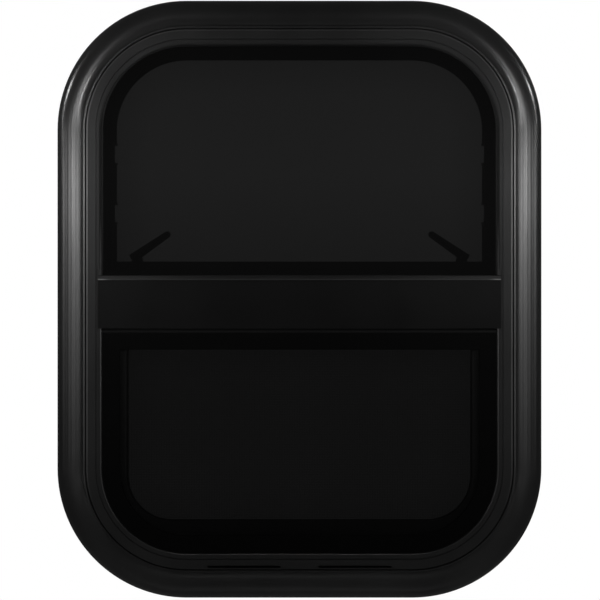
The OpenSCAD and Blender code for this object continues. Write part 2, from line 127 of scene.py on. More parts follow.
class Value:
    """One socket of a shader, with arithmetic that adds nodes."""

    def __init__(self, tree, socket=None):
        self.tree = tree
        self.socket = socket

    def node(self, kind, settings=None, inputs=None, output=0):
        """Any node: its settings are made first, then its sockets are set or linked."""
        made = self.tree.nodes.new("ShaderNode" + kind)
        for name, setting in (settings or {}).items():
            if name == "stops":
                ramp = made.color_ramp.elements
                for place, (at, shade) in enumerate(setting):
                    stop = ramp[place] if place < 2 else ramp.new(at)
                    stop.position = at
                    stop.color = (shade, shade, shade, 1)
            else:
                setattr(made, name, setting)
        for name, given in (inputs or {}).items():
            if isinstance(given, Value):
                self.tree.links.new(given.socket, made.inputs[name])
            else:
                made.inputs[name].default_value = given
        return Value(self.tree, made.outputs[output])

    def join(self, sign, a, b):
        """One sum of two things, in numbers, colours or vectors as they need."""
        kinds = {given.socket.type for given in (a, b) if isinstance(given, Value)}
        if "RGBA" in kinds:
            mix = {"data_type": "RGBA", "blend_type": sign}
            return self.node("Mix", mix, {0: 1.0, 6: a, 7: b}, output=2)
        if "VECTOR" in kinds:
            return self.node("VectorMath", {"operation": sign}, {0: a, 1: b})
        return self.node("Math", {"operation": sign}, {0: a, 1: b})

    def __add__(self, other):
        return self.join("ADD", self, other)

    def __radd__(self, other):
        return self.join("ADD", other, self)

    def __sub__(self, other):
        return self.join("SUBTRACT", self, other)

    def __rsub__(self, other):
        return self.join("SUBTRACT", other, self)

    def __mul__(self, other):
        return self.join("MULTIPLY", self, other)

    def __rmul__(self, other):
        return self.join("MULTIPLY", other, self)

    def part(self, axis):
        """One of a vector's three numbers: 0, 1 or 2."""
        return self.node("SeparateXYZ", {}, {0: self}, output=axis)

    def band(self, what, start, end):
        """Rises from 0 to 1 between two distances in millimetres."""
        return self.node("MapRange", {}, {0: what, 1: start * MM, 2: end * MM, 3: 0.0, 4: 1.0})

    def math(self, operation, other=0.0):
        """Any other sum on plain numbers, such as SQRT or MAXIMUM."""
        return self.node("Math", {"operation": operation}, {0: self, 1: other})


# %% [markdown]
# ## White behind, dim all round
#
# The backdrop is white and the window is black, so white has to reach the eye and not
# the window. The world is white where the camera looks, and dim for all the light that
# falls on the piece. The floor does the same later, so the choice is a function.

# %% The world
room_light = 0.07
backdrop_light = 1.0
paper_white = (1, 1, 1, 1)


def seen_or_lit(start, seen, lit):
    """Shows one shader to the camera and lights the scene with the other."""
    by_eye = start.node("LightPath", output="Is Camera Ray")
    return start.node("MixShader", {}, {0: by_eye, 1: lit, 2: seen})


world = bpy.data.worlds.new("white_room")
bpy.context.scene.world = world
world.use_nodes = True
sky = world.node_tree
sky.nodes.remove(sky.nodes["Background"])
air = Value(sky)
dim = air.node("Background", {}, {"Color": paper_white, "Strength": room_light})
white = air.node("Background", {}, {"Color": paper_white, "Strength": backdrop_light})
sky.links.new(seen_or_lit(air, white, dim).socket, sky.nodes["World Output"].inputs[0])
print("the room gives", room_light, "and the backdrop shows", backdrop_light)

# %% [markdown]
# ## A softbox
#
# A studio lamp is a flat panel. A grid on its front keeps its light off what it isn't
# aimed at, and Blender's Spread is such a grid. It also makes the lamp brighter where it
# points, so the energy is divided by that gain, and `glow` stays the panel's brightness
# whatever the grid.

# %% One lamp
open_front = 180


def softbox(name, place, aim, size, glow, grid):
    """A flat studio lamp of a given brightness, with a grid in degrees, that isn't seen."""
    bpy.ops.object.light_add(type="AREA", location=place)
    lamp = bpy.context.object
    lamp.name = name
    lamp.data.shape = "RECTANGLE"
    lamp.data.size, lamp.data.size_y = size
    half = math.radians(grid / 2)
    gain = 1.0 if grid == open_front else math.tan(half) / (math.tan(half) - half)
    lamp.data.energy = glow * math.pi * size[0] * size[1] / gain
    lamp.data.spread = math.radians(grid)
    turn = (Vector(aim) - Vector(place)).to_track_quat("-Z", "Y")
    lamp.rotation_euler = turn.to_euler()
    lamp.visible_camera = False


# %% [markdown]
# ## Light
#
# A black window shows what it mirrors. The frame's bulb is half a tube, so each upright
# line on it mirrors the room at its own angle, and a jamb's shine is drawn by lamps that
# stand side by side before it. The shine is brightest at the shoulder and fades down the
# jamb, so the lamps stand in four rows, each dimmer than the one above. A few more lamps
# draw the top corners, the bottom run and the room side.

# %% The lamps, mirrored about the middle
jamb_x = 0.205
# A row's height, how tall its lamps are, and its share of their glow.
rows = [(0.382, 0.094, 1.38), (0.290, 0.09, 0.38), (0.200, 0.09, 0.17), (0.110, 0.09, 0.07)]
# How far a lamp stands to its own jamb's side, how far before the wall, its width, its
# glow and its grid. A minus puts it on the far side of the middle.
row_lamps = {
    "near_panel": (0.12, 0.6, 0.14, 21, 15),
    "side_panel": (0.35, 0.6, 0.23, 5.8, 60),
    "wide_panel": (0.62, 0.6, 0.32, 0.7, 40),
    "far_panel": (-0.07, 0.6, 0.24, 11, 32),
    "cross_panel": (-0.44, 0.6, 0.50, 11, 24),
    "cross_wide": (-0.95, 0.6, 0.50, 9, 20),
    "cross_far": (-0.90, 0.3, 0.30, 9, 6),
}
# Where a lamp stands and aims on the right-hand side, its size, its glow and its grid.
paired_lamps = {
    "corner_strip": ((-0.33, -0.6, 0.31), (0.155, 0, 0.48), (0.05, 0.20), 95, 14),
    "high_side_lamp": ((1.5, -0.3, 0.95), (0.205, 0, 0.46), (0.2, 0.4), 90, 10.5),
    "low_side_lamp": ((1.5, -0.3, 0.66), (0.19, 0, 0.475), (0.2, 0.2), 90, 4),
    "back_side_panel": ((1.2, 2.2, 0.5), (0, 0, 0.26), (0.7, 1.6), 2.5, open_front),
}
middle_lamps = {
    "lower_fill": ((0, -0.6, 1.0), (0, 0, 0.02), (0.5, 0.1), 17, 20),
    "low_panel": ((0, -0.6, -0.55), (0, 0, 0.03), (0.7, 0.12), 7, 26),
    "back_panel": ((0, 2.6, 1.25), (0, 0, 0.26), (3.2, 1.7), 1.2, open_front),
}
for side in (-1, 1):
    for z, tall, share in rows:
        for name, (across, before, wide, glow, grid) in row_lamps.items():
            softbox(name, (side * across, -before, z), (side * jamb_x, 0, z), (wide, tall),
                    glow * share, grid)
    for name, (place, aim, size, glow, grid) in paired_lamps.items():
        softbox(name, (side * place[0], *place[1:]), (side * aim[0], *aim[1:]), size, glow, grid)
for name, settings in middle_lamps.items():
    softbox(name, *settings)

# %% [markdown]
# ## What every finish starts from
#
# Each finish begins with an empty material and a few patterns. All of them are worked
# out from where a point lies on the object, because that holds still when the camera
# moves. Soft noise gives the mottling, and a ramp turns it into a shade that drifts
# a little from place to place.

# %% Empty finish, noise and mottling


def new_finish(name):
    """An empty material, its Principled shader and a Value to build from."""
    material = bpy.data.materials.new(name)
    material.use_nodes = True
    tree = material.node_tree
    return material, tree.nodes["Principled BSDF"], Value(tree)


def feed(shader, socket, value):
    """Links a value to a shader's socket, so that it can vary over the surface."""
    value.tree.links.new(value.socket, shader.inputs[socket])


def where(start):
    """Where a point lies, in the window's own metres."""
    return start.node("TexCoord", output=3)


def noise(start, size, detail=2.0, roughness=0.5):
    """Soft mottling whose blotches are about `size` metres across."""
    settings = {"Vector": where(start), "Scale": 1 / size, "Detail": detail,
                "Roughness": roughness}
    return start.node("TexNoise", {}, settings)


def mottled(start, pattern, dark, pale):
    """A grey that drifts from dark to pale as the pattern does."""
    return start.node("ValToRGB", {"stops": [(0.3, dark), (0.7, pale)]}, {0: pattern})


# %% [markdown]
# ## Distance in from the frame's outline
#
# The bulb, the groove, the ledge and the lip all follow the frame round its corners. A
# shader can tell them apart by one number: how far a point lies in from the outline. A
# rounded rectangle has a simple formula for that, which works at any size.

# %% Distance in


def distance_in(start):
    """How far a point lies inside the frame's rounded outline, in metres."""
    place = where(start)
    past_x = place.part(0).math("ABSOLUTE") - straight_x
    past_z = (place.part(2) - mid_z).math("ABSOLUTE") - straight_z
    out_x = past_x.math("MAXIMUM", 0.0)
    out_z = past_z.math("MAXIMUM", 0.0)
    round_part = (out_x * out_x + out_z * out_z).math("SQRT")
    flat_part = past_x.math("MAXIMUM", past_z).math("MINIMUM", 0.0)
    return corner_r - (round_part + flat_part)


# %% [markdown]
# ## Zones of wear and painted light on the frame
#
# Hands, cloths and rain polish the bulb. A pale line is painted as a highlight on the
# bulb's narrow land beside the groove and along the ledge, and the very tip of the lip
# gets a glossy coat. The outer rim and the lip stay dull, the rim and the lip's tip
# beside the upper pane are painted darker as shade, and the bulb's bottom run is painted
# paler, as painted light. The flats past the groove are paler than the bulb. Each pair of
# numbers says where a zone begins and where it has its full strength, in millimetres in
# from the outline or up from z = 0.

# %% Where each zone begins
rim_fades = (0.3, 1.3)
polish_begins = (0.3, 1.1)
land_begins = (22.9, 23.2)
groove_begins = (24.8, 24.9)
line_begins = (26.2, 26.4)
line_stops = (27.2, 27.4)
lip_begins = (35.2, 36.2)
tip_begins = (37.5, 38.1)
tip_line_begins = (38.5, 38.8)
jamb_begins = (70, 125)
rail_begins = (236, 240)
pane_begins = (300, 335)
shoulder_begins = (414, 480)
print("the pale line on the ledge is", round(line_stops[0] - line_begins[0], 1), "mm wide")

# %% [markdown]
# ## What wear and painted light do to the frame
#
# A polished place gets a thin glossy coat over its powder. The coat is broken up by
# fine specks, because a real shine is full of pin pricks. A painted highlight line, the
# painted light on the bottom run and the flats past the groove get a paler colour, the
# painted shade a darker one, and a dull place more roughness. The lip's tip shines beside
# the screen, faintly beside the foot of the upper pane, and not above, where it is
# painted darker as shade instead.

# %% Polish, painted highlights, painted light, painted shade and dullness
coat_index = 1.5
coat_rough = 0.22
line_shine = 1.1
tip_shine = 1.2
tip_share_at_rail = 0.28
polish_lost_in_groove = 0.98
shine_base = 0.1
shine_speckle = 1.5
speck_size = 0.9 * MM
lip_dulled = 0.3
tip_dulled = 0.2
rim_dulled = 0.5
# How pale the painted highlight line on the land and ledge is, and how much less at the shoulder.
edge_highlight_pale = 2.8
edge_highlight_less_at_shoulder = 1.7
# How much paler the bulb's bottom run is painted, as painted light.
bottom_light_pale = 1.4
# How much darker the lip's tip and the outer rim are painted, as painted shade.
tip_painted_shade = 1.5
rim_painted_shade = 0.8


def frame_wear_and_painted_light(shader, start, tone, rough):
    """Polish on the bulb, painted highlights on its edges, painted light on the bottom run, painted
    shade on the lip's tip and rim, and a dull lip.
    """
    inward = distance_in(start)
    height = where(start).part(2)
    jambs = start.band(height, *jamb_begins)
    shoulders = start.band(height, *shoulder_begins)
    low_part = (1.0 - start.band(height, *rail_begins) * (1 - tip_share_at_rail)
                - start.band(height, *pane_begins) * tip_share_at_rail)
    past_bulb = start.band(inward, *groove_begins)
    line = start.band(inward, *line_begins) - start.band(inward, *line_stops)
    tip = start.band(inward, *tip_begins)
    rim = 1.0 - start.band(inward, *rim_fades)

    polished = start.band(inward, *polish_begins) - past_bulb * polish_lost_in_groove
    tip_line = start.band(inward, *tip_line_begins) * low_part
    shiny = (polished + line * line_shine) * jambs + tip_line * tip_shine
    speckle = shine_base + noise(start, speck_size, 2) * shine_speckle
    shader.inputs["Coat IOR"].default_value = coat_index
    shader.inputs["Coat Roughness"].default_value = coat_rough
    feed(shader, "Coat Weight", shiny * speckle)

    lip = start.band(inward, *lip_begins)
    rough = rough + lip * lip_dulled + tip * tip_dulled + rim * rim_dulled
    land = start.band(inward, *land_begins) - past_bulb
    # Painted highlight: a pale line on the land and along the ledge, on the jambs, weaker at the
    # shoulder.
    painted_edge_highlight = (land + line) * jambs * (edge_highlight_pale - shoulders * edge_highlight_less_at_shoulder)
    # Painted light: the bulb's bottom run is painted paler.
    painted_bottom_light = (1.0 - jambs) * (1.0 - past_bulb) * bottom_light_pale
    beside_pane = (1.0 - low_part) * (1.0 - shoulders)
    # Painted shade: the lip's tip beside the upper pane and the outer rim are painted darker.
    shaded = tip * beside_pane * tip_painted_shade + rim * rim_painted_shade
    return tone * (1.0 + past_bulb + painted_edge_highlight + painted_bottom_light - shaded), rough


# %% [markdown]
# ## Painted highlight on the bead
#
# The glazing bead lies on the mid-rail like a small shelf. A thin pale line is painted
# along its lower edge as a highlight, and it is palest at the two turned-up ends.

# %% Painted highlight along the bead's lower edge
bead_edge_fades = (279.3, 280.0)
bead_end_begins = (168, 177)
# How pale the painted highlight is along the bead's lower edge and at its ends.
bead_edge_highlight = 3.6
bead_end_highlight = 26.0


def bead_painted_highlight(shader, start, tone, rough):
    """A painted highlight along the lower edge, palest at the ends. The sheen stays as it is."""
    place = where(start)
    low_edge = 1.0 - start.band(place.part(2), *bead_edge_fades)
    ends = start.band(place.part(0).math("ABSOLUTE"), *bead_end_begins)
    # Painted highlight: the bead's lower edge is painted pale, palest at the ends.
    return tone * (1.0 + low_edge * (bead_edge_highlight + ends * ends * bead_end_highlight)), rough


# %% [markdown]
# ## Black powder coat
#
# The frame is coated aluminium. Powder melts into a skin with a faint orange peel, about
# a millimetre from crest to crest, and it isn't quite even in gloss. A bump gives the
# peel and a broad cloud the unevenness. The pieces differ only in how dark and how
# glossy they are, so one function makes them all, and a second one adds a piece's wear
# and painted light.

# %% The coats
cloud_size = 50 * MM
peel_size = 1.2 * MM
peel_depth = 0.04 * MM
peel_strength = 0.12
gloss_drift = 0.1
peel_gloss = 0.06
coat_mottle = 0.15


def powder_coat(name, shade, gloss, shine, wear_and_painted_light=None):
    """Black powder coat with orange peel and uneven gloss, and a piece's own wear and painted
    light.
    """
    material, shader, start = new_finish(name)
    cloud = noise(start, cloud_size, 3)
    peel = noise(start, peel_size, 1)
    tone = mottled(start, cloud, shade * (1 - coat_mottle), shade * (1 + coat_mottle))
    rough = gloss + (cloud - 0.5) * gloss_drift + (peel - 0.5) * peel_gloss
    shader.inputs["Specular IOR Level"].default_value = shine
    if wear_and_painted_light:
        tone, rough = wear_and_painted_light(shader, start, tone, rough)
    feed(shader, "Base Color", tone)
    feed(shader, "Roughness", rough)
    bump = start.node("Bump", {}, {"Strength": peel_strength, "Distance": peel_depth,
                                   "Height": peel})
    feed(shader, "Normal", bump)
    return material


# The frame's finish carries painted highlights, painted light and painted shade, and the bead's a
# painted highlight.
frame_coat = powder_coat("frame_powder_coat", 0.013, gloss=0.45, shine=0.12, wear_and_painted_light=frame_wear_and_painted_light)
rail_coat = powder_coat("rail_powder_coat", 0.009, gloss=0.3, shine=0.035)
bead_coat = powder_coat("bead_powder_coat", 0.006, gloss=0.34, shine=0.2, wear_and_painted_light=bead_painted_highlight)
inner_coat = powder_coat("inner_powder_coat", 0.004, gloss=0.6, shine=0.04)
room_coat = powder_coat("room_side_powder_coat", 0.022, gloss=0.36, shine=0.5)
sash_coat = powder_coat("sash_powder_coat", 0.008, gloss=0.42, shine=0.15)
print(len(bpy.data.materials), "finishes so far, the last is", sash_coat.name)

# %% [markdown]
# ## Tinted glass
#
# The panes are dark grey: under a hundredth of the light gets through. A shader that
# bends light would be slow and would show the same, so the glass is a black mirror that
# lets a little through, and the latches behind it show as darker shapes. The tint is
# never quite even, and a pane has faint wipe marks that dull its shine. It looks darker
# near its edge and towards the mid-rail, where the frame shades what lies behind.

# %% Glass
tint_dark = 0.0013
tint_pale = 0.0019
tint_cloud = 90 * MM
smear_size = 30 * MM
smear_dulls = 0.03
edge_share = 0.78
tint_drift = 0.1


def tinted_glass(name, let_through, edge, shaded_end, end_share, haze, shine):
    """A near-black pane that passes a small share of what is behind it. It passes less
    near its edge, which `edge` gives as two distances in from the outline, and near one
    end, which `shaded_end` gives as two heights, darker one first, in millimetres."""
    material, shader, start = new_finish(name)
    shader.inputs["Specular IOR Level"].default_value = shine
    cloud = noise(start, tint_cloud, 2)
    feed(shader, "Base Color", mottled(start, cloud, tint_dark, tint_pale))
    smear = noise(start, smear_size, 4, 0.7)
    feed(shader, "Roughness", haze + smear * smear_dulls)
    height = where(start).part(2)
    clear = start.band(distance_in(start), *edge) * (1 - edge_share) + edge_share
    clear = clear * (start.band(height, *shaded_end) * (1 - end_share) + end_share)
    each_face = clear.math("SQRT") * math.sqrt(let_through)
    drift = 1.0 + tint_drift / 2 - cloud * tint_drift
    feed(shader, "Alpha", 1.0 - each_face * drift)
    return material


upper_tint = tinted_glass("upper_tint", 0.0091, (52, 85), (285, 372), 0.7, haze=0.03, shine=0.42)
lower_tint = tinted_glass("lower_tint", 0.0045, (60, 95), (224, 190), 0.7, haze=0.06, shine=0.5)
print("panes", upper_tint.name, lower_tint.name)

# %% [markdown]
# ## Rubber, nylon, screen thread and steel
#
# The small pieces each have their own feel. Rubber is matt with a fine bloom, moulded
# nylon has a leathery grain, the screen's glass thread has a dull black skin, the seals
# are a brush of fine fibres, and the screws are zinc-plated steel. All are a mottled
# shade with a fine raised grain, so one function takes their measures.

# %% Small finishes
grain_cloud = 20 * MM
grain_mottle = 0.2
grain_gloss_drift = 0.12
grain_strength = 0.3


def grained(name, shade, gloss, grain, depth, metallic=0.0, shine=0.5):
    """A plain finish with mottled colour and a fine raised grain."""
    material, shader, start = new_finish(name)
    shader.inputs["Specular IOR Level"].default_value = shine
    shader.inputs["Metallic"].default_value = metallic
    cloud = noise(start, grain_cloud, 3)
    fine = noise(start, grain * MM, 2)
    tone = mottled(start, cloud, shade * (1 - grain_mottle), shade * (1 + grain_mottle))
    feed(shader, "Base Color", tone)
    feed(shader, "Roughness", gloss + (cloud - 0.5) * grain_gloss_drift)
    bump = start.node("Bump", {}, {"Strength": grain_strength, "Distance": depth * MM,
                                   "Height": fine})
    feed(shader, "Normal", bump)
    return material


rubber = grained("rubber", 0.008, 0.7, 0.7, 0.06, shine=0.12)
nylon = grained("moulded_nylon", 0.010, 0.42, 0.5, 0.05)
screen_wire = grained("screen_wire", 0.004, 0.6, 2, 0.02, shine=0.05)
pile = grained("brush_pile", 0.008, 0.9, 0.3, 0.2)
zinc = grained("zinc_plated_steel", 0.32, 0.34, 0.4, 0.03, metallic=1.0)
print("small finishes", rubber.name, nylon.name, screen_wire.name, pile.name, zinc.name)

# %% [markdown]
# ## The bar's measures
#
# The real frame is one extruded bar bent round four corners, so it is modelled the same
# way: the bar's section is drawn once, pushed along each straight run and spun round
# each corner. These are the section's measures, each a distance in from the outer edge
# or out of the wall.

# %% Measures of the bar
bulb_w = 24.7 * MM
bulb_r = 13.2 * MM
bulb_top = 10.2 * MM
crown = 12.6 * MM
bulb_wall = 1.8 * MM
land_out = 4.5 * MM
groove_outer_floor = 1.9 * MM
groove_inner_floor = 3.1 * MM
ledge_in = 25.7 * MM
ledge_out = 5.0 * MM
shadow_line_w = 0.7 * MM
shadow_line_d = 0.8 * MM
lip_in = 34.6 * MM
lip_out = 5.6 * MM
lip_end = 39.8 * MM
lip_t = 1.4 * MM
wall = 1.6 * MM
leg_in = 16.8 * MM
race_in = 21.7 * MM
race_out = -10.0 * MM
leg_out = -29.0 * MM
web_in = 4.0 * MM
r_lip = 0.69 * MM
r_soft = 0.6 * MM
r_small = 0.3 * MM
r_land = 0.2 * MM
r_fine = 0.15 * MM
print("the bulb is", round(bulb_w / MM, 1), "mm wide and stands", round(bulb_top / MM, 1), "mm out")

# %% [markdown]
# ## Arcs and rounded corners
#
# A section is listed as its corners, each with the radius that the die gives it. One
# helper swaps each corner for a small arc, and another draws the bulb, which is an arc
# about a centre below its crown.

# %% Helpers that draw a section


def arc(radius, start_in, end_in, steps):
    """Points on the bulb's curve between two distances inward."""
    first = math.asin((start_in - crown) / radius)
    last = math.asin((end_in - crown) / radius)
    turns = [first + (last - first) * i / steps for i in range(steps + 1)]
    centre = bulb_top - bulb_r
    return [(crown + radius * math.sin(a), centre + radius * math.cos(a), 0) for a in turns]


def arc_in(radius, out):
    """How far inward the bulb's curve comes down to a height out of the wall."""
    return crown + math.sqrt(radius ** 2 - (out - bulb_top + bulb_r) ** 2)


def rounded(outline):
    """Swaps each corner (inward, outward, radius) of a closed outline for a small arc."""
    points = []
    for i, (inward, outward, radius) in enumerate(outline):
        corner = Vector((inward, outward))
        if not radius:
            points.append(corner)
            continue
        before = (Vector(outline[i - 1][:2]) - corner).normalized()
        after = (Vector(outline[(i + 1) % len(outline)][:2]) - corner).normalized()
        half = before.angle(after) / 2
        centre = corner + (before + after).normalized() * (radius / math.sin(half))
        reach = radius / math.tan(half)
        first = (corner + before * reach - centre).normalized()
        last = (corner + after * reach - centre).normalized()
        steps = 4 if radius > r_land else 2
        for k in range(steps + 1):
            points.append(centre + first.slerp(last, k / steps) * radius)
    return points


# %% [markdown]
# ## The bar's section
#
# The outline runs over the bulb, down into the groove, along the ledge, over the shadow
# line and the lip, back down the inner wall and the screw race, and home through the
# bulb's hollow, which is open to the wall for the sealant.

# %% Section of the bar
land_in = arc_in(bulb_r, land_out)
land_room = 0.3 * MM
bulb_steps = 40
hollow_steps = 16
shadow_floor = ledge_out - shadow_line_d
ledge_back = ledge_out - bulb_wall
lip_back = lip_out - lip_t
frame_section = rounded(
    [(0, 0, r_fine)]
    + arc(bulb_r, 0, land_in - land_room, bulb_steps)
    + [(land_in, land_out, r_fine),
       (bulb_w, land_out, r_land),
       (bulb_w, groove_outer_floor, r_fine),
       (ledge_in, groove_inner_floor, r_fine),
       (ledge_in, ledge_out, r_soft),
       (lip_in, ledge_out, r_small),
       (lip_in, shadow_floor, 0),
       (lip_in + shadow_line_w, shadow_floor, 0),
       (lip_in + shadow_line_w, lip_out, r_small),
       (lip_end, lip_out, r_lip),
       (lip_end, lip_back, r_lip),
       (lip_in + wall, lip_back, 0),
       (lip_in + wall, leg_out, r_small),
       (lip_in, leg_out, r_small),
       (lip_in, ledge_back, 0),
       (ledge_in + wall, ledge_back, 0),
       (ledge_in + wall, 0, r_fine),
       (leg_in + wall, 0, 0),
       (leg_in + wall, race_out, 0),
       (race_in + wall, race_out, r_fine),
       (race_in + wall, leg_out, r_small),
       (race_in, leg_out, r_small),
       (race_in, race_out - wall, 0),
       (leg_in + wall, race_out - wall, 0),
       (leg_in + wall, leg_out, r_small),
       (leg_in, leg_out, r_small),
       (leg_in, 0, 0),
       (web_in, 0, r_fine),
       (web_in, wall, r_fine),
       (bulb_w - bulb_wall, wall, 0)]
    + arc(bulb_r - bulb_wall, bulb_wall, bulb_w - bulb_wall, hollow_steps)[::-1]
    + [(bulb_wall, 0, r_fine)])
print("the section has", len(frame_section), "points")

# %% [markdown]
# ## Small tools of the bench
#
# An operator acts on what is selected, so each of these first selects its own piece and
# nothing else. They put a modifier to work for good, shade curves smooth, make a copy
# with its own mesh, join copies to one piece, and clear away what was only a tool.

# %% Select, modify, copy, join, discard
curve_angle = 32


def activate(piece, *others):
    """Selects a piece, and any others with it, and nothing else."""
    bpy.ops.object.select_all(action="DESELECT")
    for chosen in (piece, *others):
        chosen.select_set(True)
    bpy.context.view_layer.objects.active = piece


def apply_modifier(piece, kind, **settings):
    """Adds a modifier and applies it at once."""
    activate(piece)
    modifier = piece.modifiers.new(kind.lower(), kind)
    for name, setting in settings.items():
        setattr(modifier, name, setting)
    bpy.ops.object.modifier_apply(modifier=modifier.name)


def smooth(piece, angle=curve_angle):
    """Shades curves smooth and keeps flats flat."""
    activate(piece)
    bpy.ops.object.shade_smooth_by_angle(angle=math.radians(angle))
    apply_modifier(piece, "WEIGHTED_NORMAL", keep_sharp=True)


def place_copy(master, place, turn=(0, 0, 0), stretch=1):
    """A copy of a master with its own mesh, at its place, stretched along its length."""
    copy = bpy.data.objects.new(master.name + "_copy", master.data.copy())
    copy.location = place
    copy.rotation_euler = turn
    copy.scale = (1, 1, stretch)
    bpy.context.collection.objects.link(copy)
    return copy


def join_copies(copies, name):
    """Joins copies to one piece whose place is in its mesh."""
    activate(*copies)
    bpy.ops.object.join()
    piece = bpy.context.object
    piece.name = name
    bpy.ops.object.transform_apply(location=True, rotation=True, scale=True)
    return piece


def discard(tool):
    """Removes a master, a cutter or another tool that isn't part of the window."""
    bpy.data.objects.remove(tool, do_unlink=True)


def subtract(piece, cutter):
    """Cuts one solid out of a piece, and clears the cutter away."""
    apply_modifier(piece, "BOOLEAN", operation="DIFFERENCE", object=cutter, solver="EXACT")
    discard(cutter)


# %% [markdown]
# ## Finishing a piece
#
# Each finished piece gets its material, hides the solid that it stands in for, and rides on
# that solid's body. One function does it for all, and prints how big the piece came out.

# %% Finish a piece and hide its solid


def dress(piece, material, node, body="window"):
    """Gives a piece its finish and its body, and hides the solid it stands in for."""
    piece.data.materials.clear()
    piece.data.materials.append(material)
    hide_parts(node)
    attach(piece, body)
    low = [min(v.co[i] for v in piece.data.vertices) for i in range(3)]
    high = [max(v.co[i] for v in piece.data.vertices) for i in range(3)]
    print(piece.name, len(piece.data.polygons), "faces,",
          [round((b - a) / MM, 1) for a, b in zip(low, high)], "mm")


# %% [markdown]
# ## Bending a bar round the window
#
# A circle with as many corners as the section has is pulled into the section's shape at
# the middle of the sill. From there it is extruded along each straight run and spun
# a quarter turn round each corner until it meets itself, and the meeting ends are merged.

# %% Push and spin a section round the window
corner_steps = 32
merge_gap = 0.01 * MM


def sweep_round(name, outline):
    """Sweeps a closed section round the four sides and corners of the window."""
    bpy.ops.object.select_all(action="DESELECT")
    bpy.ops.mesh.primitive_circle_add(vertices=len(outline), radius=MM)
    ring = bpy.context.object
    ring.name = name
    for vertex, (inward, outward) in zip(ring.data.vertices, outline):
        vertex.co = (0, -outward, low_z + inward)
    runs = [(straight_x, 0), (0, 2 * straight_z), (-2 * straight_x, 0),
            (0, -2 * straight_z), (straight_x, 0)]
    corners = [(1, -1), (1, 1), (-1, 1), (-1, -1)]
    bpy.ops.object.mode_set(mode="EDIT")
    bpy.ops.mesh.select_all(action="SELECT")
    for i, (dx, dz) in enumerate(runs):
        bpy.ops.mesh.extrude_region_move(TRANSFORM_OT_translate={"value": (dx, 0, dz)})
        if i < len(corners):
            sx, sz = corners[i]
            centre = (sx * straight_x, 0, mid_z + sz * straight_z)
            bpy.ops.mesh.spin(steps=corner_steps, angle=quarter_turn, center=centre,
                              axis=(0, 1, 0))
    bpy.ops.mesh.select_all(action="SELECT")
    bpy.ops.mesh.remove_doubles(threshold=merge_gap)
    bpy.ops.mesh.normals_make_consistent(inside=False)
    bpy.ops.object.mode_set(mode="OBJECT")
    return ring


frame_bar = sweep_round("bent_frame", frame_section)
print("the bar goes round in", len(frame_bar.data.polygons), "faces")

# %% [markdown]
# ## Weep slots
#
# Rain that gets behind the lip runs out through two long slots in the bottom run. They
# are milled after bending, with round ends, so a bar with bevelled ends is cut out of
# the frame on each side.

# %% Mill the weep slots
weep_x = 50 * MM
weep_l = 64 * MM
weep_h = 2.1 * MM
weep_z = low_z + 28.1 * MM
weep_depth = 4 * wall
weep_end = weep_h / 2 - 0.001 * MM
weep_end_steps = 6
for side in (-1, 1):
    bpy.ops.mesh.primitive_cube_add(size=1, location=(side * weep_x, -ledge_out, weep_z),
                                    scale=(weep_l + weep_h, weep_depth, weep_h))
    cutter = bpy.context.object
    bpy.ops.object.transform_apply(location=True, rotation=True, scale=True)
    bpy.ops.object.mode_set(mode="EDIT")
    bpy.ops.mesh.select_all(action="DESELECT")
    bpy.ops.object.mode_set(mode="OBJECT")
    for edge in cutter.data.edges:
        a, b = (cutter.data.vertices[i].co for i in edge.vertices)
        edge.select = abs(a.y - b.y) > MM
    bpy.ops.object.mode_set(mode="EDIT")
    bpy.ops.mesh.select_mode(type="EDGE")
    bpy.ops.mesh.bevel(offset=weep_end, segments=weep_end_steps)
    bpy.ops.object.mode_set(mode="OBJECT")
    subtract(frame_bar, cutter)
smooth(frame_bar)
dress(frame_bar, frame_coat, "outer_frame")

# %% [markdown]
# ## The clamp ring
#
# The ring inside the vehicle is a flat flange with a lip that reaches into the frame.
# Its outer edge is rolled over, because that is where hands meet it. It is the same
# kind of bent bar, so the same sweep makes it.

# %% Clamp ring
clamp_out = -32 * MM
clamp_t = 2 * MM
clamp_edge = 5 * MM
clamp_lip_in = 36.4 * MM
clamp_lip_end = 37.8 * MM
clamp_lip_out = -24 * MM
r_clamp_edge = 1.2 * MM
r_clamp_lip = 0.8 * MM
clamp_face = clamp_out - clamp_t
clamp_section = rounded([
    (clamp_edge, clamp_out, r_small),
    (clamp_edge, clamp_face, r_clamp_edge),
    (clamp_lip_end, clamp_face, r_clamp_lip),
    (clamp_lip_end, clamp_lip_out, r_small),
    (clamp_lip_in, clamp_lip_out, r_small),
    (clamp_lip_in, clamp_out, 0)])
clamp = sweep_round("clamp_flange", clamp_section)
smooth(clamp)
dress(clamp, room_coat, "clamp_ring")

# %% [markdown]
# ## Rails, sash, track and latches
#
# These are straight bars, castings and plates whose solids already have the right form.
# What the solids lack is a softened edge. Each gets a copy whose loose triangles are
# joined, its flats cleared of needless edges, and its corners rounded by a Bevel.

# %% Copies with softened edges
edge_steps = 3
corner_angle = math.radians(38)
flat_angle = math.radians(0.5)
weld_gap = 0.001 * MM


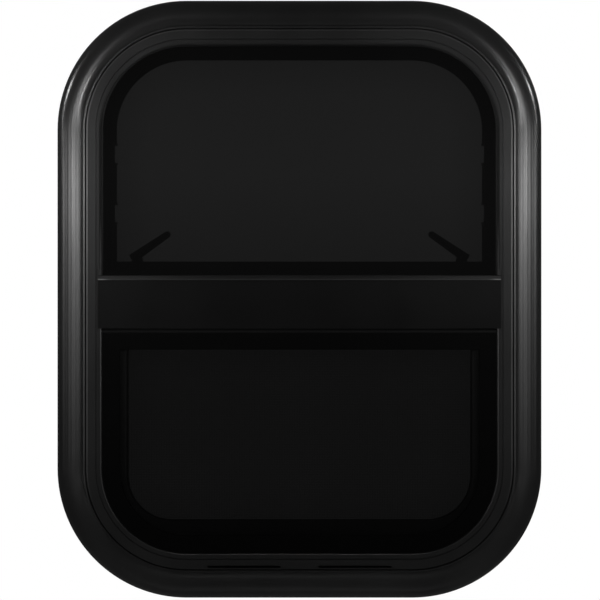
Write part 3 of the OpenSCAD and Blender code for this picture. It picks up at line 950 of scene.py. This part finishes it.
def softened(node, edge):
    """A copy of a solid with its sharp edges rounded."""
    activate(frame["nodes"][node])
    bpy.ops.object.duplicate()
    piece = bpy.context.object
    bpy.ops.object.parent_clear(type="CLEAR_KEEP_TRANSFORM")
    piece.name = node + "_finished"
    bpy.ops.object.mode_set(mode="EDIT")
    bpy.ops.mesh.select_all(action="SELECT")
    bpy.ops.mesh.remove_doubles(threshold=weld_gap)
    bpy.ops.mesh.dissolve_limited(angle_limit=flat_angle)
    bpy.ops.object.mode_set(mode="OBJECT")
    apply_modifier(piece, "BEVEL", width=edge, segments=edge_steps, limit_method="ANGLE",
                   angle_limit=corner_angle, use_clamp_overlap=True)
    smooth(piece)
    return piece


# Each piece's edge radius, its finish and its slot.
soft_pieces = {
    "mid_rail": (0.7, rail_coat, "black_coated_aluminium"),
    "mid_rail_bead": (0.5, bead_coat, "black_coated_aluminium"),
    "track_ring": (0.25, room_coat, "black_coated_aluminium"),
    "keeper_left": (0.4, nylon, "black_nylon"),
    "keeper_right": (0.4, nylon, "black_nylon"),
    "screen_frame": (0.3, inner_coat, "black_coated_aluminium"),
    "sash_frame": (0.4, sash_coat, "black_coated_aluminium"),
    "sash_top_rail": (0.5, room_coat, "black_coated_aluminium"),
    "latch_base_left": (0.3, room_coat, "black_coated_aluminium"),
    "latch_base_right": (0.3, room_coat, "black_coated_aluminium"),
    "latch_lever_left": (0.7, nylon, "black_nylon"),
    "latch_lever_right": (0.7, nylon, "black_nylon"),
}
lever_bodies = {"latch_lever_left": "left_latch", "latch_lever_right": "right_latch"}
for node, (edge, coat, slot) in soft_pieces.items():
    dress(softened(node, edge * MM), coat, node, body=lever_bodies.get(node, "window"))

# %% [markdown]
# ## The insect screen
#
# The screen is woven thread about a quarter of a millimetre thick, a millimetre and a
# half apart. Woven waves would be lost at this scale, so each thread is a straight
# six-sided bar, modelled once and copied, and only as long as the screen's rounded
# outline allows. The level threads lie a little behind the upright ones, as if woven.

# %% Screen threads
thread_r = 0.14 * MM
thread_sides = 6
thread_gap = 1.5 * MM
weave_step = thread_r * 0.7
screen_in = 40.9 * MM
screen_top = low_z + 239.1 * MM
screen_y = -4.15 * MM
screen_half = half_w - screen_in
screen_r = corner_r - screen_in
screen_bend = low_z + corner_r
thread_angle = 70


def thread_foot(x):
    """The lowest point of an upright thread at x."""
    past = max(abs(x) - straight_x, 0)
    return screen_bend - math.sqrt(screen_r ** 2 - past ** 2)


def thread_half(z):
    """Half the length of a level thread at height z."""
    below = max(screen_bend - z, 0)
    return straight_x + math.sqrt(screen_r ** 2 - below ** 2)


bpy.ops.mesh.primitive_cylinder_add(vertices=thread_sides, radius=thread_r, depth=1)
thread = bpy.context.object
threads = []
each_side = int(screen_half / thread_gap)
for i in range(-each_side, each_side + 1):
    x = i * thread_gap
    foot = thread_foot(x)
    middle = (foot + screen_top) / 2
    threads.append(place_copy(thread, (x, screen_y - weave_step, middle),
                              stretch=screen_top - foot))
z = screen_bend - screen_r + thread_gap
while z < screen_top - thread_gap / 2:
    threads.append(place_copy(thread, (0, screen_y + weave_step, z), (0, quarter_turn, 0),
                              2 * thread_half(z)))
    z += thread_gap
discard(thread)
print(len(threads), "threads")
screen = join_copies(threads, "screen_threads")
smooth(screen, thread_angle)
dress(screen, screen_wire, "screen_mesh")

# %% [markdown]
# ## One clamp screw
#
# Pan-head screws draw the clamp ring to the frame. A head is a short cylinder with
# a domed edge and a cross pressed into it. The dome is a bevel round the upper rim, and
# the cross is two small bars cut out of the head.

# %% Model a screw
head_r = 3.5 * MM
head_t = 1.8 * MM
head_sides = 32
dome = 1.2 * MM
dome_steps = 5
cross_size = (3.4 * MM, 1.8 * MM, 0.7 * MM)
cross_turns = (20, 110)
shank_r = 1.5 * MM
shank_l = 20 * MM
shank_sides = 16
shank_sunk = 0.1 * MM


def one_screw():
    """A screw along y, with its head's flat underside at y = 0 and its head towards +y."""
    turn = (quarter_turn, 0, 0)
    bpy.ops.mesh.primitive_cylinder_add(vertices=head_sides, radius=head_r, depth=head_t,
                                        location=(0, head_t / 2, 0), rotation=turn)
    head = bpy.context.object
    bpy.ops.object.transform_apply(location=True, rotation=True, scale=True)
    for edge in head.data.edges:
        a, b = (head.data.vertices[i].co for i in edge.vertices)
        edge.select = min(a.y, b.y) > head_t / 2
    bpy.ops.object.mode_set(mode="EDIT")
    bpy.ops.mesh.select_mode(type="EDGE")
    bpy.ops.mesh.bevel(offset=dome, segments=dome_steps)
    bpy.ops.object.mode_set(mode="OBJECT")
    for cross_turn in cross_turns:
        bpy.ops.mesh.primitive_cube_add(size=1, location=(0, head_t, 0),
                                        rotation=(0, math.radians(cross_turn), 0),
                                        scale=cross_size)
        subtract(head, bpy.context.object)
    bpy.ops.mesh.primitive_cylinder_add(vertices=shank_sides, radius=shank_r, depth=shank_l,
                                        location=(0, shank_sunk - shank_l / 2, 0),
                                        rotation=turn)
    return join_copies([head, bpy.context.object], "screw")


master = one_screw()
print("the screw's head is", round(2 * head_r / MM, 1), "mm across")

# %% [markdown]
# ## Twelve clamp screws
#
# The screws stand along the frame's screw race: one in each corner, and two along each
# of the four sides. Each is a copy of the first, and the copies are joined to one piece.

# %% Twelve screws
screw_in = 20.05 * MM
screw_angle = 40
clamp_face_y = -clamp_face


def screw_places():
    """The twelve places along the screw race, as (x, z)."""
    lean = (corner_r - screw_in) * math.cos(math.radians(45))
    for sx in (-1, 1):
        for sz in (-1, 1):
            yield sx * (straight_x + lean), mid_z + sz * (straight_z + lean)
            yield sx * (half_w - screw_in), mid_z + sz * straight_z / 2
            yield sx * straight_x / 2, mid_z + sz * (half_h - screw_in)


screws = [place_copy(master, (x, clamp_face_y, z)) for x, z in screw_places()]
discard(master)
screw_set = join_copies(screws, "pan_head_screws")
smooth(screw_set, screw_angle)
dress(screw_set, zinc, "clamp_screws")

# %% [markdown]
# ## Solids that stay
#
# Panes, gaskets, seals, the spline and the pins already have their real shape, so they
# keep it and only get their finish.

# %% Finishes of the solids that stay
kept = {
    "upper_glass": upper_tint,
    "sash_glass": lower_tint,
    "upper_front_gasket": rubber,
    "upper_rear_gasket": rubber,
    "sash_gasket": rubber,
    "screen_spline": rubber,
    "sash_seal": pile,
    "meeting_seal": pile,
    "latch_pin_left": zinc,
    "latch_pin_right": zinc,
}
for node, finish in kept.items():
    for place in frame["nodes"][node].material_slots:
        place.material = finish
    print(node, "has", finish.name)

# %% [markdown]
# ## Floor
#
# A caravan's window sits about a metre over the ground, so the pale floor is well below
# it. It doesn't show from straight ahead. From above it does, and what the camera sees
# of it fades to the backdrop's white with distance, so that no horizon shows.

# %% Floor
floor_z = -0.9
floor_w = 20
floor_dark = 0.72
floor_pale = 0.76
floor_patch = 0.6
floor_rough = 0.8
floor_seen = 0.95
far_begins = (2500, 9500)
far_paler = 0.3
bpy.ops.mesh.primitive_plane_add(size=floor_w, location=(0, 0, floor_z))
floor = bpy.context.object
floor.name = "pale_floor"
pale, pale_shader, ground = new_finish("pale_floor")
pale_tone = mottled(ground, noise(ground, floor_patch), floor_dark, floor_pale)
feed(pale_shader, "Base Color", pale_tone)
pale_shader.inputs["Roughness"].default_value = floor_rough
from_centre = ground.node("VectorMath", {"operation": "LENGTH"}, {0: where(ground)}, output=1)
seen_tone = pale_tone + ground.band(from_centre, *far_begins) * far_paler
seen = ground.node("Emission", {}, {"Color": seen_tone, "Strength": floor_seen})
surface = seen_or_lit(ground, seen, Value(pale.node_tree, pale_shader.outputs[0]))
feed(pale.node_tree.nodes["Material Output"], "Surface", surface)
floor.data.materials.append(pale)
print("the floor lies at", floor_z, "m")
